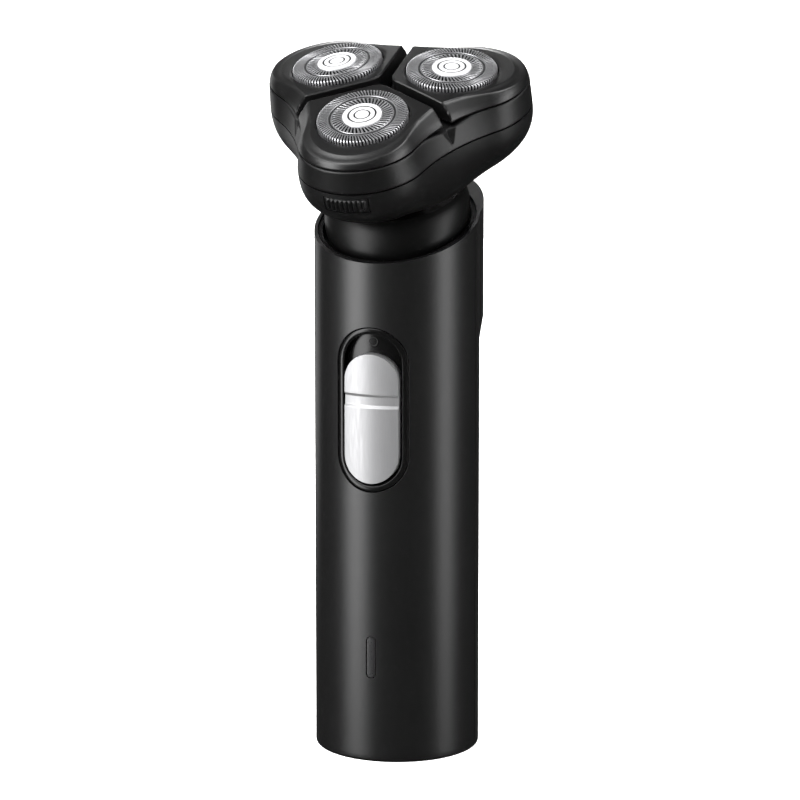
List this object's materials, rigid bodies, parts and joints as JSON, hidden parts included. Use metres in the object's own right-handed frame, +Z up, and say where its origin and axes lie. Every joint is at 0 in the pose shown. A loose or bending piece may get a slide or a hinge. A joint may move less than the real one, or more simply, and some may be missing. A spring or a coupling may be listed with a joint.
{
  "type": "rotary electric shaver",
  "caption": "Upright cylindrical electric shaver with a leaned, floating three-lobed head of round rotary cutters, a thumb slide switch and a slide-up back trimmer.",
  "frame": {"origin": "centre of the flat base, on the axis of the round handle", "axes": "+Z up along the handle, -Y out of the front where the thumb switch is, +X to the right seen from the front"},
  "size_m": [0.0648, 0.0658, 0.1718],
  "materials": {
    "shell_black": "satin moulded plastic",
    "collar_black": "gloss",
    "head_black": "satin moulded plastic",
    "plate_black": "fine satin",
    "switch_silver": "satin brushed",
    "cutter_steel": "turned and brushed",
    "cap_steel": "polished",
    "led_smoke": "smoked translucent",
    "frame_grey": "moulded nylon",
    "gear_nylon": "natural acetal",
    "steel_part": "ground",
    "bronze": "sintered",
    "cell_wrap": "shrink film",
    "nickel": "plated strip",
    "board_green": "solder mask",
    "led_white": "clear epoxy"
  },
  "bodies": {
    "handle": {"front_shell": "shell_black", "rear_shell": "shell_black", "top_collar": "collar_black", "base_cap": "shell_black", "charge_inlet": "steel_part", "base_screws": "steel_part", "switch_bezel": "collar_black", "switch_tray": "collar_black", "slide_switch": "frame_grey", "led_window": "led_smoke", "indicator_led": "led_white", "circuit_board": "board_green", "inner_chassis": "frame_grey", "battery_cell": "cell_wrap", "battery_tabs": "nickel", "motor_can": "steel_part", "motor_end_bell": "frame_grey", "neck_base": "frame_grey", "neck_dome": "head_black", "pitch_pins": "steel_part"},
    "switch": {"switch_button": "switch_silver"},
    "motor_rotor": {"motor_shaft": "steel_part", "drive_pin": "steel_part"},
    "gimbal": {"gimbal_ring": "frame_grey", "roll_pins": "steel_part"},
    "head": {"head_bowl": "head_black", "head_bearing": "bronze", "gear_cover": "frame_grey", "gear_cover_screws": "steel_part", "button_spring": "steel_part", "cover_hinge_pin": "steel_part"},
    "release": {"release_button": "head_black"},
    "head_shaft": {"head_drive_shaft": "gear_nylon", "sun_gear": "gear_nylon"},
    "cover": {"cover_frame": "head_black", "cutter_retainer": "frame_grey", "lobe_plate_1": "plate_black", "lobe_plate_2": "plate_black", "lobe_plate_3": "plate_black", "float_spring_1": "steel_part", "float_spring_2": "steel_part", "float_spring_3": "steel_part"},
    "trimmer": {"trimmer_slider": "shell_black", "trimmer_comb": "cutter_steel"},
    "trimmer_cutter": {"trimmer_blade": "cutter_steel"},
    "drive_1": {"drive_gear_1": "gear_nylon", "drive_spindle_1": "gear_nylon"},
    "cutter_1": {"outer_cutter_1": "cutter_steel", "cutter_cap_1": "cap_steel"},
    "rotor_1": {"inner_cutter_1": "cutter_steel"},
    "drive_2": {"drive_gear_2": "gear_nylon", "drive_spindle_2": "gear_nylon"},
    "cutter_2": {"outer_cutter_2": "cutter_steel", "cutter_cap_2": "cap_steel"},
    "rotor_2": {"inner_cutter_2": "cutter_steel"},
    "drive_3": {"drive_gear_3": "gear_nylon", "drive_spindle_3": "gear_nylon"},
    "cutter_3": {"outer_cutter_3": "cutter_steel", "cutter_cap_3": "cap_steel"},
    "rotor_3": {"inner_cutter_3": "cutter_steel"}
  },
  "joints": [
    {"name": "switch_slide", "type": "slide", "parent": "handle", "child": "switch", "axis": [0, 0, 1], "range_m": [0, 0.004]},
    {"name": "head_pitch", "type": "hinge", "parent": "handle", "child": "gimbal", "pos_m": [0, 0.00115, 0.13541], "axis": [1, 0, 0], "range_deg": [-4, 4], "stiffness_Nm_per_rad": 1},
    {"name": "head_roll", "type": "hinge", "parent": "gimbal", "child": "head", "pos_m": [0, 0.00115, 0.13541], "axis": [0, 0.9373, 0.3486], "range_deg": [-4, 4], "stiffness_Nm_per_rad": 1},
    {"name": "cover_hinge", "type": "hinge", "parent": "head", "child": "cover", "pos_m": [0, 0.01884, 0.16417], "axis": [-1, 0, 0], "range_deg": [0, 100]},
    {"name": "release_press", "type": "slide", "parent": "head", "child": "release", "axis": [0, 0.9373, 0.3486], "range_m": [0, 0.0009], "stiffness_N_per_m": 600, "deforming": ["button_spring"]},
    {"name": "motor_spin", "type": "hinge", "parent": "handle", "child": "motor_rotor", "pos_m": [0, 0.00115, 0.13541], "axis": [0, 0, 1], "continuous": true},
    {"name": "shaft_spin", "type": "hinge", "parent": "head", "child": "head_shaft", "pos_m": [0, 0.00115, 0.13541], "axis": [0, -0.3486, 0.9373], "continuous": true},
    {"name": "trimmer_slide", "type": "slide", "parent": "handle", "child": "trimmer", "axis": [0, 0, 1], "range_m": [0, 0.011]},
    {"name": "trimmer_cut", "type": "slide", "parent": "trimmer", "child": "trimmer_cutter", "axis": [1, 0, 0], "range_m": [-0.0007, 0.0007]},
    {"name": "cutter_float_1", "type": "slide", "parent": "cover", "child": "cutter_1", "axis": [0, 0.4368, -0.8996], "range_m": [0, 0.001], "stiffness_N_per_m": 500, "deforming": ["float_spring_1"]},
    {"name": "gear_spin_1", "type": "hinge", "parent": "head", "child": "drive_1", "pos_m": [0, -0.01817, 0.14103], "axis": [0, -0.3486, 0.9373], "continuous": true},
    {"name": "rotor_spin_1", "type": "hinge", "parent": "cutter_1", "child": "rotor_1", "pos_m": [0, -0.02565, 0.15958], "axis": [0, -0.4368, 0.8996], "continuous": true},
    {"name": "cutter_float_2", "type": "slide", "parent": "cover", "child": "cutter_2", "axis": [-0.083, 0.302, -0.9497], "range_m": [0, 0.001], "stiffness_N_per_m": 500, "deforming": ["float_spring_2"]},
    {"name": "gear_spin_2", "type": "hinge", "parent": "head", "child": "drive_2", "pos_m": [0.01399, 0.00454, 0.14947], "axis": [0, -0.3486, 0.9373], "continuous": true},
    {"name": "rotor_spin_2", "type": "hinge", "parent": "cutter_2", "child": "rotor_2", "pos_m": [0.01446, -0.00217, 0.16831], "axis": [0.083, -0.302, 0.9497], "continuous": true},
    {"name": "cutter_float_3", "type": "slide", "parent": "cover", "child": "cutter_3", "axis": [0.083, 0.302, -0.9497], "range_m": [0, 0.001], "stiffness_N_per_m": 500, "deforming": ["float_spring_3"]},
    {"name": "gear_spin_3", "type": "hinge", "parent": "head", "child": "drive_3", "pos_m": [-0.01399, 0.00454, 0.14947], "axis": [0, -0.3486, 0.9373], "continuous": true},
    {"name": "rotor_spin_3", "type": "hinge", "parent": "cutter_3", "child": "rotor_3", "pos_m": [-0.01446, -0.00217, 0.16831], "axis": [-0.083, -0.302, 0.9497], "continuous": true}
  ],
  "couplings": [
    {"joint": "shaft_spin", "follows": "motor_spin", "ratio": 1},
    {"joint": "gear_spin_1", "follows": "motor_spin", "ratio": -1.3333},
    {"joint": "rotor_spin_1", "follows": "motor_spin", "ratio": -1.3333},
    {"joint": "gear_spin_2", "follows": "motor_spin", "ratio": -1.3333},
    {"joint": "rotor_spin_2", "follows": "motor_spin", "ratio": -1.3333},
    {"joint": "gear_spin_3", "follows": "motor_spin", "ratio": -1.3333},
    {"joint": "rotor_spin_3", "follows": "motor_spin", "ratio": -1.3333}
  ]
}
